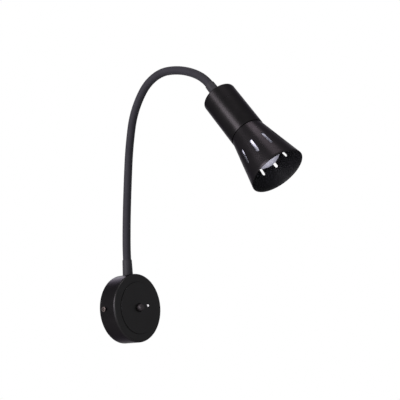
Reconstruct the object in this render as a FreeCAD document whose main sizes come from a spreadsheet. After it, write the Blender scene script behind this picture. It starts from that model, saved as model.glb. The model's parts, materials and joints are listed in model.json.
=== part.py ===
import FreeCAD, Part
import math
import os
import re

import Sketcher
from FreeCAD import Placement, Rotation, Vector

# Bedside wall reading lamp: a round wall canopy, a bendable arm and a slotted cone shade.
# Frame: origin at the centre of the canopy's back, on the wall. +Z is up and -Y leads away
# from the wall. The arm bends in the plane X = 0 at rest.
# Canopy pieces are drawn in a frame of their own: x to the right, y up, z out from the wall.
# Head pieces are drawn with z along the head's axis, from the shade's rim to the arm.

SIZES = {
    # canopy
    "canopy_diameter": 82,
    "canopy_depth": 25,
    "canopy_wall": 1.5,
    "canopy_edge": 3,
    "disc_diameter": 62,
    "disc_thickness": 1.3,
    "disc_proud": 0.8,
    "disc_edge": 0.4,
    "disc_gap": 0.15,
    # bracket on the wall
    "bracket_thickness": 1.5,
    "bracket_gap": 0.3,
    "ear_thickness": 2,
    "ear_width": 12,
    "ear_reach": 11,
    "ear_gap": 0.8,
    "wall_slot_spacing": 54,
    "wall_slot_width": 4.4,
    "wall_slot_length": 10,
    "inlet_diameter": 11,
    # screws on the canopy's sides
    "side_screw_diameter": 3.8,
    "side_screw_length": 7,
    "side_screw_head": 6.2,
    "side_screw_head_height": 1.4,
    "side_screw_head_edge": 0.7,
    "side_screw_depth": 7,
    "side_screw_recess": 0.8,
    "side_screw_slot": 0.9,
    "side_screw_slot_length": 3.72,
    "hole_clearance": 0.2,
    "thread_clearance": 0.05,
    # push button and its switch
    "button_diameter": 9.8,
    "button_proud": 6,
    "button_dome": 1.6,
    "button_edge": 3,
    "button_gap": 0.3,
    "button_flange": 13,
    "button_flange_height": 1.5,
    "switch_diameter": 18,
    "switch_depth": 14,
    "switch_floor": 2.5,
    "switch_flange": 26,
    "switch_flange_height": 1.5,
    "switch_bore_gap": 0.5,
    "switch_screw_diameter": 2,
    "switch_screw_head": 3.8,
    "switch_screw_head_height": 1.3,
    "switch_screw_bite": 0.8,
    "lug_width": 3,
    "lug_thickness": 0.8,
    "lug_length": 3.5,
    "lug_spacing": 10,
    # pilot light
    "pilot_diameter": 2.8,
    "pilot_across": 15.5,
    "pilot_up": 2.4,
    "pilot_proud": 1,
    "pilot_length": 4.6,
    "pilot_wall": 0.9,
    "pilot_holder_length": 9.5,
    "pilot_holder_floor": 1.5,
    "pilot_led_length": 3,
    "pilot_led_edge": 1.2,
    # terminals and leads in the canopy
    "inlet_flange": 16,
    "inlet_flange_height": 2,
    "inlet_flange_edge": 1,
    "inlet_bore": 7.2,
    "terminal_width": 26,
    "terminal_height": 14,
    "terminal_depth": 12,
    "terminal_top": -17,
    "terminal_pitch": 8,
    "terminal_screw_diameter": 3.2,
    "terminal_screw_length": 4.2,
    "terminal_screw_sink": 0.3,
    "terminal_screw_spacing": 7,
    "terminal_entry": 3,
    "fixing_screw_diameter": 3,
    "fixing_screw_head": 4,
    "fixing_screw_head_height": 2,
    "lead_depth": 6.5,
    "lead_grip": 2,
    "lead_exit": 5,
    "lead_gap": 2.3,
    "lead_drop": 4,
    "live_rise": 6,
    "switched_fall": 8,
    "neutral_clearance": 3,
    "earth_exit": 8,
    "wire_diameter": 1.4,
    "earth_wire_diameter": 1.8,
    "earth_across": -20,
    "earth_up": 14,
    "earth_screw_diameter": 3.9,
    "earth_screw_head": 7,
    "earth_screw_head_height": 2.5,
    "earth_tag_diameter": 8,
    "earth_tag_thickness": 0.8,
    "earth_tag_length": 11,
    # arm
    "arm_offset": 9.53,
    "arm_diameter": 10.1,
    "sleeve_wall": 1.25,
    "core_gap": 0.1,
    "cable_bore": 3.8,
    "cable_diameter": 3,
    "cable_tail": 5,
    "ball_gap": 0.3,
    "link_length": 47.31,
    "turn_base": 3.97,
    "turn_1": 2.31,
    "turn_2": 1.11,
    "turn_3": 6.58,
    "turn_4": 28.09,
    "turn_5": 57.01,
    "turn_6": 25.72,
    "turn_head": 21.5,
    # collars at the arm's ends
    "collar_length": 18.4,
    "head_collar_length": 21.7,
    "collar_foot": 12.6,
    "collar_mouth": 11.6,
    "collar_lip": 0.4,
    "collar_sink": 4,
    "collar_gap": 0.1,
    "collar_socket": 14.2,
    "shank_diameter": 9,
    "shank_bore": 4.4,
    "shank_length": 12,
    "thread_proud": 1,
    "nut_across_flats": 13,
    "nut_height": 4.5,
    "saddle_width": 16,
    "saddle_depth": 12,
    # head: cup and shade
    "cup_diameter": 40.7,
    "cup_wall": 0.7,
    "cup_length": 42.3,
    "cap_length": 19,
    "cap_floor": 1,
    "cap_edge": 1.5,
    "cap_lip": 4,
    "cap_lip_wall": 0.6,
    "shade_diameter": 63.4,
    "shade_length": 60.2,
    "shade_wall": 0.8,
    "shade_fit": 0.05,
    "shade_neck_length": 17.8,
    "shade_hole_gap": 0.2,
    "slot_count": 10,
    "slot_width": 3.2,
    "slot_length": 19.5,
    "slot_start": 18.5,
    "slot_phase": -4.5,
    # head: lampholder and lamp
    "holder_thread": 28,
    "holder_thread_length": 12,
    "holder_shoulder": 33,
    "holder_shoulder_height": 2,
    "holder_body": 26,
    "holder_body_length": 20,
    "holder_floor": 8,
    "ring_diameter": 34.5,
    "ring_height": 5,
    "shell_wall": 0.6,
    "shell_gap": 0.1,
    "shell_inset": 3,
    "contact_height": 1,
    "contact_diameter": 7,
    "bell_wall": 1.2,
    "bell_overlap": 8,
    "bell_depth": 7,
    "bell_floor": 2,
    "head_shank_length": 17.5,
    "head_nut_height": 4,
    "globe_diameter": 45,
    "globe_neck": 30,
    "neck_end": 15,
    "lamp_cap_diameter": 13.9,
    "lamp_cap_length": 19,
    "lamp_tip_length": 3,
    "lamp_tip_diameter": 6,
    "lamp_length": 78,
}

LINKS = 6

# Lengths that follow from the sizes above
DERIVED = {
    "canopy_radius": "canopy_diameter / 2",
    "canopy_bore": "canopy_radius - canopy_wall",
    "front_inside": "canopy_depth - canopy_wall",
    "disc_back": "canopy_depth - disc_thickness + disc_proud",
    "disc_front": "canopy_depth + disc_proud",
    "disc_radius": "disc_diameter / 2",
    "ear_outside": "canopy_bore - ear_gap",
    "button_radius": "button_diameter / 2",
    "button_hole": "button_radius + button_gap",
    "button_top": "disc_front + button_proud",
    "button_shoulder": "front_inside - button_gap",
    "button_foot": "button_shoulder - button_flange_height",
    "switch_back": "front_inside - switch_depth",
    "lead_pass": "switch_back - lead_gap - wire_diameter / 2",
    "switch_bore": "button_flange / 2 + switch_bore_gap",
    "switch_flange_back": "front_inside - switch_flange_height",
    "switch_screw_offset": "(switch_diameter + switch_flange) / 4",
    "switch_screw_radius": "switch_screw_diameter / 2",
    "lug_back": "switch_back - lug_length",
    "pilot_radius": "pilot_diameter / 2",
    "pilot_bore": "pilot_radius + thread_clearance",
    "pilot_back": "front_inside - pilot_holder_length",
    "pilot_lens_back": "disc_front + pilot_proud - pilot_length",
    "terminal_bottom": "terminal_top - terminal_height",
    "terminal_middle": "terminal_top - terminal_height / 2",
    "terminal_front": "bracket_thickness + terminal_depth",
    "shank_radius": "shank_diameter / 2",
    "shank_end": "canopy_radius - shank_length",
    "saddle_bottom": "shank_end + thread_proud + nut_height",
    "collar_top": "canopy_radius + collar_length",
    "collar_bore": "arm_diameter / 2 + collar_gap",
    "cable_start": "shank_end - cable_tail",
    "earth_head_back": "bracket_thickness + earth_tag_thickness",
    "cup_radius": "cup_diameter / 2",
    "cup_bore": "cup_radius - cup_wall",
    "cup_back": "shade_length + cup_length + cap_length",
    "cap_front": "shade_length + cup_length",
    "shade_radius": "shade_diameter / 2",
    "shade_small": "cup_bore - shade_fit",
    "shade_neck_end": "shade_length + shade_neck_length",
    "neck_radius": "shade_small - shade_fit",
    "holder_front": "shade_neck_end - holder_thread_length",
    "holder_shoulder_back": "shade_neck_end + holder_shoulder_height",
    "holder_back": "holder_shoulder_back + holder_body_length",
    "shell_radius": "lamp_cap_diameter / 2 + shell_gap + shell_wall",
    "contact_back": "holder_back - holder_floor",
    "lamp_tip": "contact_back - contact_height",
    "lamp_cap_back": "lamp_tip - lamp_tip_length",
    "lamp_cap_front": "lamp_cap_back - lamp_cap_length",
    "globe_radius": "globe_diameter / 2",
    "globe_front": "lamp_tip - lamp_length",
    "globe_centre": "globe_front + globe_radius",
    "neck_start": "globe_centre + sqrt(globe_radius ^ 2 - (globe_neck / 2) ^ 2)",
    "bell_front": "holder_back - bell_overlap",
    "bell_back": "holder_back + bell_depth",
    "bell_radius": "holder_body / 2 + thread_clearance + bell_wall",
    "head_length": "cup_back + head_collar_length",
}

document = FreeCAD.newDocument("wall_reading_lamp")
sheet = document.addObject("Spreadsheet::Sheet", "Sizes")
for row, (size_name, number) in enumerate(SIZES.items(), start=1):
    sheet.set("A%d" % row, size_name)
    sheet.set("B%d" % row, str(number))
    sheet.setAlias("B%d" % row, size_name)
document.recompute()

pieces = {}


# ---------------------------------------------------------------- expressions and features

def expand(text):
    """Rewrite plain size names as references to the sheet's cells."""
    def swap(match):
        word = match.group()
        if word in DERIVED:
            return "(" + expand(DERIVED[word]) + ")"
        return "Sizes." + word if word in SIZES else word
    return re.sub(r"[a-z][a-z0-9_]*", swap, text)


def value(text):
    """The present value of an expression, in millimetres or degrees."""
    return float(sheet.evalExpression(expand(text)))


def bind(feature, **expressions):
    for name, text in expressions.items():
        feature.setExpression(name, expand(text))


def seat(feature, at, turn=None):
    """Put a feature at a point given as three expressions, turned by a rotation."""
    if turn is not None:
        feature.Placement = Placement(Vector(), turn)
    for letter, text in zip("xyz", at):
        feature.setExpression("Placement.Base." + letter, expand(text))
    return feature


ORIGIN = ("0", "0", "0")
ALONG_X = Rotation(Vector(0, 1, 0), 90)
ALONG_MINUS_X = Rotation(Vector(0, 1, 0), -90)
ALONG_Y = Rotation(Vector(1, 0, 0), -90)


def cylinder(name, radius, height, at=ORIGIN, turn=None):
    feature = document.addObject("Part::Cylinder", name)
    bind(feature, Radius=radius, Height=height)
    return seat(feature, at, turn)


def box(name, across, upward, deep, at=ORIGIN, turn=None):
    feature = document.addObject("Part::Box", name)
    bind(feature, Length=across, Width=upward, Height=deep)
    return seat(feature, at, turn)


def fuse(name, shapes):
    feature = document.addObject("Part::MultiFuse", name)
    feature.Shapes = shapes
    feature.Refine = True
    return feature


def group(name, shapes):
    feature = document.addObject("Part::Compound", name)
    feature.Links = shapes
    return feature


def cut(name, base, tools):
    feature = document.addObject("Part::Cut", name)
    feature.Base = base
    feature.Tool = tools[0] if len(tools) == 1 else fuse(name + "_tools", tools)
    return feature


def common(name, base, tool):
    feature = document.addObject("Part::Common", name)
    feature.Base = base
    feature.Tool = tool
    return feature


def origin_feature(body, role):
    return next(item for item in body.Origin.OriginFeatures if item.Role == role)


def arc_between(first, last, radius):
    """The arc from first to last that bulges to the right of the way, and if it runs backward."""
    chord = last - first
    middle = (first + last) * 0.5
    side = Vector(-chord.y, chord.x, 0).normalize()
    rise = math.sqrt(max(abs(radius) ** 2 - (chord.Length / 2) ** 2, 0))
    centre = middle + side * (rise if radius > 0 else -rise)
    circle = Part.Circle(centre, Vector(0, 0, 1), abs(radius))
    start = math.atan2(first.y - centre.y, first.x - centre.x)
    end = math.atan2(last.y - centre.y, last.x - centre.x)
    if radius > 0:
        return Part.ArcOfCircle(circle, start, end), False
    return Part.ArcOfCircle(circle, end, start), True


def outline(body, name, role, points):
    """A closed sketch through points (x, y), or (x, y, radius) where an arc leads on."""
    sketch = body.newObject("Sketcher::SketchObject", name)
    sketch.AttachmentSupport = [(origin_feature(body, role), "")]
    sketch.MapMode = "FlatFace"
    corners = [Vector(value(point[0]), value(point[1]), 0) for point in points]
    ends = []
    for index, point in enumerate(points):
        first = corners[index]
        last = corners[(index + 1) % len(corners)]
        if len(point) == 3:
            arc, backward = arc_between(first, last, value(point[2]))
            sketch.addGeometry(arc, False)
            ends.append((2, 1) if backward else (1, 2))
        else:
            sketch.addGeometry(Part.LineSegment(first, last), False)
            ends.append((1, 2))
    for index in range(len(points)):
        following = (index + 1) % len(points)
        joined = Sketcher.Constraint("Coincident", index, ends[index][1], following, ends[following][0])
        sketch.addConstraint(joined)
    for index, point in enumerate(points):
        start = ends[index][0]
        for kind, axis, text in (("DistanceX", -2, point[0]), ("DistanceY", -1, point[1])):
            if text == "0":
                sketch.addConstraint(Sketcher.Constraint("PointOnObject", index, start, axis))
                continue
            number = sketch.addConstraint(Sketcher.Constraint(kind, -1, 1, index, start, value(text)))
            sketch.setExpression("Constraints[%d]" % number, expand(text))
        if len(point) < 3:
            continue
        radius = point[2]
        chord = corners[(index + 1) % len(corners)] - corners[index]
        half_circle = abs(chord.Length / 2 - value(radius)) < 1e-6
        if half_circle:
            level = Sketcher.Constraint("DistanceY", -1, 1, index, 3, value(point[1]))
            number = sketch.addConstraint(level)
            sketch.setExpression("Constraints[%d]" % number, expand(point[1]))
        else:
            number = sketch.addConstraint(Sketcher.Constraint("Radius", index, value(radius)))
            sketch.setExpression("Constraints[%d]" % number, expand(radius))
    return sketch


def turned(name, points, rounds=()):
    """A body turned about z from an outline of (radius, height), with rounded edges."""
    body = document.addObject("PartDesign::Body", name)
    sketch = outline(body, name + "_outline", "XZ_Plane", points)
    feature = body.newObject("PartDesign::Revolution", name + "_turning")
    feature.Profile = sketch
    feature.ReferenceAxis = (sketch, ["V_Axis"])
    feature.Angle = 360
    document.recompute()
    for number, (radius, height, size) in enumerate(rounds):
        edge = ring_edge(feature, value(radius), value(height))
        rounding = body.newObject("PartDesign::Fillet", "%s_round_%d" % (name, number))
        rounding.Base = (feature, [edge])
        bind(rounding, Radius=size)
        document.recompute()
        feature = rounding
    body.Tip = feature
    return body


def ring_edge(feature, radius, height):
    """The name of the circular edge of that radius at that height."""
    for number, edge in enumerate(feature.Shape.Edges, start=1):
        curve = edge.Curve
        if not isinstance(curve, Part.Circle):
            continue
        if abs(curve.Radius - radius) < 1e-4 and abs(curve.Center.z - height) < 1e-4:
            return "Edge%d" % number
    raise ValueError("no round edge of radius %g at %g" % (radius, height))


def keep(name, feature, placement):
    """Name a finished piece and set it in the lamp."""
    feature.Label = name
    feature.Placement = placement
    pieces[name] = feature


# ---------------------------------------------------------------- the arm's line

def heading_vector(heading):
    """The way the arm leads at a heading, in degrees from straight up towards the front."""
    angle = math.radians(heading)
    return Vector(0, -math.sin(angle), math.cos(angle))


class Stretch:
    """One stretch of the arm: an arc from a start point, with its length and turn."""

    def __init__(self, start, heading, length, turn):
        self.start = start
        self.heading = heading
        self.length = length
        self.turn = turn
        self.end_heading = heading + turn
        self.end = self.point(length)

    def centre(self):
        radius = self.length / math.radians(self.turn)
        return self.start + heading_vector(self.heading + 90) * radius

    def straight(self):
        return abs(self.turn) < 0.01

    def point(self, distance):
        if self.straight():
            return self.start + heading_vector(self.heading) * distance
        spin = Rotation(Vector(1, 0, 0), self.turn * distance / self.length)
        centre = self.centre()
        return centre + spin.multVec(self.start - centre)

    def rod(self, radius):
        """A round rod along the whole stretch."""
        way = heading_vector(self.heading)
        face = Part.Face(Part.Wire([Part.makeCircle(radius, self.start, way)]))
        if self.straight():
            return face.extrude(way * self.length)
        return face.revolve(self.centre(), Vector(1, 0, 0), self.turn)


def arm_stretches():
    turns = ["turn_base"] + ["turn_%d" % number for number in range(1, LINKS + 1)] + ["turn_head"]
    point = Vector(0, -value("arm_offset"), value("collar_top"))
    heading = 0.0
    stretches = []
    for number, name in enumerate(turns):
        share = 0.5 if number in (0, LINKS + 1) else 1.0
        stretch = Stretch(point, heading, share * value("link_length"), value(name))
        stretches.append(stretch)
        point = stretch.end
        heading = stretch.end_heading
    return stretches


stretches = arm_stretches()
arm_end = stretches[-1].end
arm_end_heading = stretches[-1].end_heading
head_start = arm_end + heading_vector(arm_end_heading) * value("head_length")

ON_WALL = Placement(Vector(), Rotation(Vector(1, 0, 0), 90))
ON_ARM_FOOT = Placement(Vector(0, -value("arm_offset"), 0), Rotation())
IN_HEAD = Placement(head_start, Rotation(Vector(1, 0, 0), arm_end_heading + 180))
AT_REST = Placement()


# ---------------------------------------------------------------- canopy

def make_canopy():
    recess = "disc_radius + disc_gap"
    shell = turned("canopy_shell", [
        ("canopy_bore", "0"),
        ("canopy_radius", "0"),
        ("canopy_radius", "canopy_depth"),
        (recess, "canopy_depth"),
        (recess, "disc_back"),
        ("0", "disc_back"),
        ("0", "front_inside"),
        ("canopy_bore", "front_inside"),
    ], rounds=[
        ("canopy_radius", "canopy_depth", "canopy_edge"),
        ("canopy_bore", "front_inside", "canopy_edge - canopy_wall"),
    ])
    holes = [
        cylinder("button_way", "button_hole", "canopy_depth"),
        cylinder("pilot_way", "pilot_bore", "canopy_depth", ("pilot_across", "pilot_up", "0")),
        cylinder("arm_way", "shank_radius + hole_clearance", "canopy_radius", ("0", "0", "arm_offset"),
                 ALONG_Y),
        cylinder("side_screw_way", "side_screw_diameter / 2 + hole_clearance", "canopy_diameter",
                 ("-canopy_radius", "0", "side_screw_depth"), ALONG_X),
    ]
    for sign, side in (("", "upper"), ("-", "lower")):
        holes.append(cylinder(side + "_switch_screw_way", "switch_screw_radius + hole_clearance",
                              "canopy_depth", ("0", sign + "switch_screw_offset", "0")))
    keep("canopy_cover", cut("canopy_drilled", shell, holes), ON_WALL)


def make_front_disc():
    disc = turned("disc_blank", [
        ("0", "disc_back"),
        ("disc_radius", "disc_back"),
        ("disc_radius", "disc_front"),
        ("0", "disc_front"),
    ], rounds=[("disc_radius", "disc_front", "disc_edge")])
    holes = [
        cylinder("disc_button_way", "button_hole", "canopy_depth * 2"),
        cylinder("disc_pilot_way", "pilot_bore", "canopy_depth * 2", ("pilot_across", "pilot_up", "0")),
    ]
    for sign, side in (("", "upper"), ("-", "lower")):
        holes.append(cylinder(side + "_disc_thread", "switch_screw_radius + thread_clearance",
                              "disc_back + switch_screw_bite + thread_clearance",
                              ("0", sign + "switch_screw_offset", "0")))
    keep("front_disc", cut("disc_drilled", disc, holes), ON_WALL)


def make_bracket():
    plate = cylinder("bracket_plate", "canopy_bore - bracket_gap", "bracket_thickness")
    solids = [plate]
    tools = [cylinder("inlet_hole", "inlet_diameter / 2", "bracket_thickness")]
    for sign, turn, side in ((1, ALONG_X, "right"), (-1, ALONG_MINUS_X, "left")):
        near = "ear_outside - ear_thickness" if sign > 0 else "-ear_outside"
        solids.append(box(side + "_ear", "ear_thickness", "ear_width", "ear_reach",
                          (near, "-ear_width / 2", "0")))
        tools.append(cylinder(side + "_ear_thread", "side_screw_diameter / 2 + thread_clearance",
                              "canopy_radius", ("0", "0", "side_screw_depth"), turn))
        middle = "wall_slot_spacing / 2" if sign > 0 else "-wall_slot_spacing / 2"
        straight = "(wall_slot_length - wall_slot_width)"
        tools.append(box(side + "_slot_middle", straight, "wall_slot_width", "bracket_thickness",
                         (middle + " - " + straight + " / 2", "-wall_slot_width / 2", "0")))
        for end, mark in ((" + ", "right"), (" - ", "left")):
            tools.append(cylinder("%s_slot_%s" % (side, mark), "wall_slot_width / 2", "bracket_thickness",
                                  (middle + end + straight + " / 2", "0", "0")))
    tools.append(cylinder("block_screw_hole", "fixing_screw_diameter / 2 + thread_clearance",
                          "bracket_thickness", ("terminal_pitch / 2", "terminal_middle", "0")))
    tools.append(cylinder("earth_screw_hole", "earth_screw_diameter / 2 + thread_clearance",
                          "bracket_thickness", ("earth_across", "earth_up", "0")))
    keep("wall_bracket", cut("bracket_drilled", fuse("bracket_blank", solids), tools), ON_WALL)


def make_side_screws():
    screws = []
    for turn, side in ((ALONG_X, "right"), (ALONG_MINUS_X, "left")):
        blank = turned(side + "_screw_blank", [
            ("0", "canopy_radius - side_screw_length"),
            ("side_screw_diameter / 2", "canopy_radius - side_screw_length"),
            ("side_screw_diameter / 2", "canopy_radius"),
            ("side_screw_head / 2", "canopy_radius"),
            ("side_screw_head / 2", "canopy_radius + side_screw_head_height"),
            ("0", "canopy_radius + side_screw_head_height"),
        ], rounds=[("side_screw_head / 2", "canopy_radius + side_screw_head_height",
                    "side_screw_head_edge")])
        floor = "canopy_radius + side_screw_head_height - side_screw_recess"
        narrow = "side_screw_slot"
        length = "side_screw_slot_length"
        bars = [
            box(side + "_recess_up", narrow, length, "side_screw_head_height",
                ("-side_screw_slot / 2", "-side_screw_slot_length / 2", floor)),
            box(side + "_recess_across", length, narrow, "side_screw_head_height",
                ("-side_screw_slot_length / 2", "-side_screw_slot / 2", floor)),
        ]
        screw = cut(side + "_screw", blank, bars)
        screws.append(seat(screw, ("0", "0", "side_screw_depth"), turn))
    keep("side_screws", group("side_screw_pair", screws), ON_WALL)


# ---------------------------------------------------------------- switch and pilot light

def make_button():
    button = turned("button_body", [
        ("0", "button_foot"),
        ("button_flange / 2", "button_foot"),
        ("button_flange / 2", "button_shoulder"),
        ("button_radius", "button_shoulder"),
        ("button_radius", "button_top - button_dome",
         "(button_radius ^ 2 + button_dome ^ 2) / (2 * button_dome)"),
        ("0", "button_top"),
    ], rounds=[("button_radius", "button_top - button_dome", "button_edge")])
    keep("push_button", button, ON_WALL)


def make_switch():
    bore_floor = "switch_back + switch_floor"
    body = turned("switch_blank", [
        ("0", "switch_back"),
        ("switch_diameter / 2", "switch_back"),
        ("switch_diameter / 2", "switch_flange_back"),
        ("switch_flange / 2", "switch_flange_back"),
        ("switch_flange / 2", "front_inside"),
        ("switch_bore", "front_inside"),
        ("switch_bore", bore_floor),
        ("0", bore_floor),
    ])
    holes = []
    screws = []
    for sign, side in (("", "upper"), ("-", "lower")):
        place = ("0", sign + "switch_screw_offset", "switch_flange_back")
        holes.append(cylinder(side + "_flange_hole", "switch_screw_radius + hole_clearance",
                              "switch_flange_height", place))
        length = "disc_back + switch_screw_bite - switch_flange_back"
        shank = cylinder(side + "_switch_shank", "switch_screw_radius", length, place)
        head = cylinder(side + "_switch_head", "switch_screw_head / 2", "switch_screw_head_height",
                        (place[0], place[1], "switch_flange_back - switch_screw_head_height"))
        screws.append(fuse(side + "_switch_screw", [shank, head]))
    keep("switch_body", cut("switch_drilled", body, holes), ON_WALL)
    keep("switch_screws", group("switch_screw_pair", screws), ON_WALL)
    lugs = []
    for sign, side in (("", "right"), ("-", "left")):
        corner = (sign + "lug_spacing / 2 - lug_thickness / 2", "-lug_width / 2", "lug_back")
        lugs.append(box(side + "_lug", "lug_thickness", "lug_width", "lug_length", corner))
    keep("switch_lugs", group("lug_pair", lugs), ON_WALL)


def make_pilot():
    lens = turned("lens_body", [
        ("0", "pilot_lens_back"),
        ("pilot_radius", "pilot_lens_back"),
        ("pilot_radius", "disc_front", "(pilot_radius ^ 2 + pilot_proud ^ 2) / (2 * pilot_proud)"),
        ("0", "disc_front + pilot_proud"),
    ])
    at_pilot = Placement(Vector(value("pilot_across"), 0, value("pilot_up")), Rotation())
    keep("pilot_lens", lens, at_pilot * ON_WALL)
    outside = "pilot_bore + pilot_wall"
    holder = turned("holder_tube", [
        ("0", "pilot_back"),
        (outside, "pilot_back"),
        (outside, "front_inside"),
        ("pilot_bore", "front_inside"),
        ("pilot_bore", "pilot_back + pilot_holder_floor"),
        ("0", "pilot_back + pilot_holder_floor"),
    ])
    keep("pilot_holder", holder, at_pilot * ON_WALL)
    led = turned("led_body", [
        ("0", "pilot_back + pilot_holder_floor"),
        ("pilot_radius", "pilot_back + pilot_holder_floor"),
        ("pilot_radius", "pilot_back + pilot_holder_floor + pilot_led_length"),
        ("0", "pilot_back + pilot_holder_floor + pilot_led_length"),
    ], rounds=[("pilot_radius", "pilot_back + pilot_holder_floor + pilot_led_length",
                "pilot_led_edge")])
    keep("pilot_led", led, at_pilot * ON_WALL)


# ---------------------------------------------------------------- terminals and leads

def make_inlet():
    flange_top = "bracket_thickness + inlet_flange_height"
    grommet = turned("grommet_body", [
        ("inlet_bore / 2", "0"),
        ("inlet_diameter / 2", "0"),
        ("inlet_diameter / 2", "bracket_thickness"),
        ("inlet_flange / 2", "bracket_thickness"),
        ("inlet_flange / 2", flange_top),
        ("inlet_bore / 2", flange_top),
    ], rounds=[("inlet_flange / 2", flange_top, "inlet_flange_edge")])
    keep("cable_grommet", grommet, ON_WALL)


def make_terminals():
    block = box("block_blank", "terminal_width", "terminal_height", "terminal_depth",
                ("-terminal_width / 2", "terminal_bottom", "bracket_thickness"))
    tools = []
    screws = []
    sink = "terminal_front - terminal_screw_sink - terminal_screw_length"
    for pole in (-1, 0, 1):
        across = "%d * terminal_pitch" % pole
        tools.append(cylinder("entry_%d" % (pole + 2), "terminal_entry / 2", "terminal_height",
                              (across, "terminal_bottom", "lead_depth"), ALONG_Y))
        for sign, mark in ((" + ", "upper"), (" - ", "lower")):
            place = (across, "terminal_middle" + sign + "terminal_screw_spacing / 2", sink)
            label = "%s_%d" % (mark, pole + 2)
            tools.append(cylinder("clamp_way_" + label, "terminal_screw_diameter / 2 + thread_clearance",
                                  "terminal_depth", place))
            screws.append(cylinder("clamp_screw_" + label, "terminal_screw_diameter / 2",
                                   "terminal_screw_length", place))
    fixing = ("terminal_pitch / 2", "terminal_middle")
    head_seat = "terminal_front - fixing_screw_head_height"
    tools.append(cylinder("fixing_way", "fixing_screw_diameter / 2 + thread_clearance", "terminal_depth",
                          (fixing[0], fixing[1], "bracket_thickness")))
    tools.append(cylinder("fixing_sink", "fixing_screw_head / 2 + thread_clearance",
                          "terminal_depth", (fixing[0], fixing[1], head_seat)))
    keep("terminal_block", cut("block_drilled", block, tools), ON_WALL)
    keep("terminal_screws", group("clamp_screws", screws), ON_WALL)
    shank = cylinder("fixing_shank", "fixing_screw_diameter / 2", "terminal_front", (*fixing, "0"))
    head = cylinder("fixing_head", "fixing_screw_head / 2", "fixing_screw_head_height",
                    (*fixing, head_seat))
    keep("block_screw", fuse("fixing_screw", [shank, head]), ON_WALL)


def make_earth():
    spot = ("earth_across", "earth_up")
    shank = cylinder("earth_shank", "earth_screw_diameter / 2", "earth_head_back", (*spot, "0"))
    head = cylinder("earth_head", "earth_screw_head / 2", "earth_screw_head_height",
                    (*spot, "earth_head_back"))
    keep("earth_screw", fuse("earth_screw_body", [shank, head]), ON_WALL)
    ring = cylinder("tag_ring", "earth_tag_diameter / 2", "earth_tag_thickness",
                    (*spot, "bracket_thickness"))
    tongue = box("tag_tongue", "earth_tag_diameter / 2", "earth_tag_length", "earth_tag_thickness",
                 ("earth_across - earth_tag_diameter / 4", "earth_up - earth_tag_length",
                  "bracket_thickness"))
    hole = cylinder("tag_hole", "earth_screw_diameter / 2 + thread_clearance", "earth_tag_thickness",
                    (*spot, "bracket_thickness"))
    keep("earth_tag", cut("tag_drilled", fuse("tag_blank", [ring, tongue]), [hole]), ON_WALL)


def round_path(points):
    """Straight runs through the points, joined by arcs as large as the runs allow."""
    runs = [(second - first) for first, second in zip(points, points[1:])]
    edges = []
    start = points[0]
    for corner, before, after in zip(points[1:-1], runs, runs[1:]):
        reach = 0.45 * min(before.Length, after.Length)
        enter = corner - before.normalize() * reach
        leave = corner + Vector(after).normalize() * reach
        turn = before.getAngle(after)
        bulge = reach * (1 / math.cos(turn / 2) - 1) / math.tan(turn / 2)
        inward = (enter + leave) * 0.5 - corner
        middle = corner + inward.normalize() * bulge
        edges.append(Part.LineSegment(start, enter).toShape())
        edges.append(Part.Arc(enter, middle, leave).toShape())
        start = leave
    edges.append(Part.LineSegment(start, points[-1]).toShape())
    return Part.Wire(edges)


def wire_piece(name, diameter, points):
    """An insulated wire along a path of points, each three expressions."""
    path = round_path([Vector(*[value(text) for text in point]) for point in points])
    first = path.Edges[0]
    way = first.tangentAt(first.FirstParameter)
    section = Part.Wire([Part.makeCircle(value(diameter) / 2, first.Vertexes[0].Point, way)])
    feature = document.addObject("Part::Feature", name + "_tube")
    feature.Shape = path.makePipeShell([section], True, False)
    keep(name, feature, ON_WALL)


def make_wires():
    inside_block = "terminal_top - lead_grip"
    above_block = "terminal_top + lead_exit"
    lug_depth = "lug_back + wire_diameter"
    wire_piece("live_wire", "wire_diameter", [
        ("terminal_pitch", inside_block, "lead_depth"),
        ("terminal_pitch", above_block, "lead_depth"),
        ("lug_spacing / 2", "-lug_width / 2 - live_rise", lug_depth),
        ("lug_spacing / 2", "-lug_width / 2", lug_depth),
    ])
    core = "cable_diameter / 4"
    below_cable = "cable_start - lead_drop"
    wire_piece("switched_wire", "wire_diameter", [
        ("-" + core, "cable_start", "arm_offset"),
        ("-" + core, below_cable, "arm_offset"),
        ("-lug_spacing / 2", "lug_width / 2 + switched_fall", lug_depth),
        ("-lug_spacing / 2", "lug_width / 2", lug_depth),
    ])
    wire_piece("neutral_wire", "wire_diameter", [
        (core, "cable_start", "arm_offset"),
        (core, below_cable, "arm_offset"),
        (core, "switch_diameter / 2 + neutral_clearance", "lead_pass"),
        (core, inside_block, "lead_depth"),
    ])
    tag_end = "earth_up - earth_tag_length"
    tag_height = "bracket_thickness + earth_wire_diameter / 2 + thread_clearance"
    wire_piece("earth_wire", "earth_wire_diameter", [
        ("earth_across", tag_end, tag_height),
        ("earth_across", tag_end + " - earth_exit", tag_height),
        ("-terminal_pitch", above_block, "lead_depth"),
        ("-terminal_pitch", inside_block, "lead_depth"),
    ])


# ---------------------------------------------------------------- arm

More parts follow.
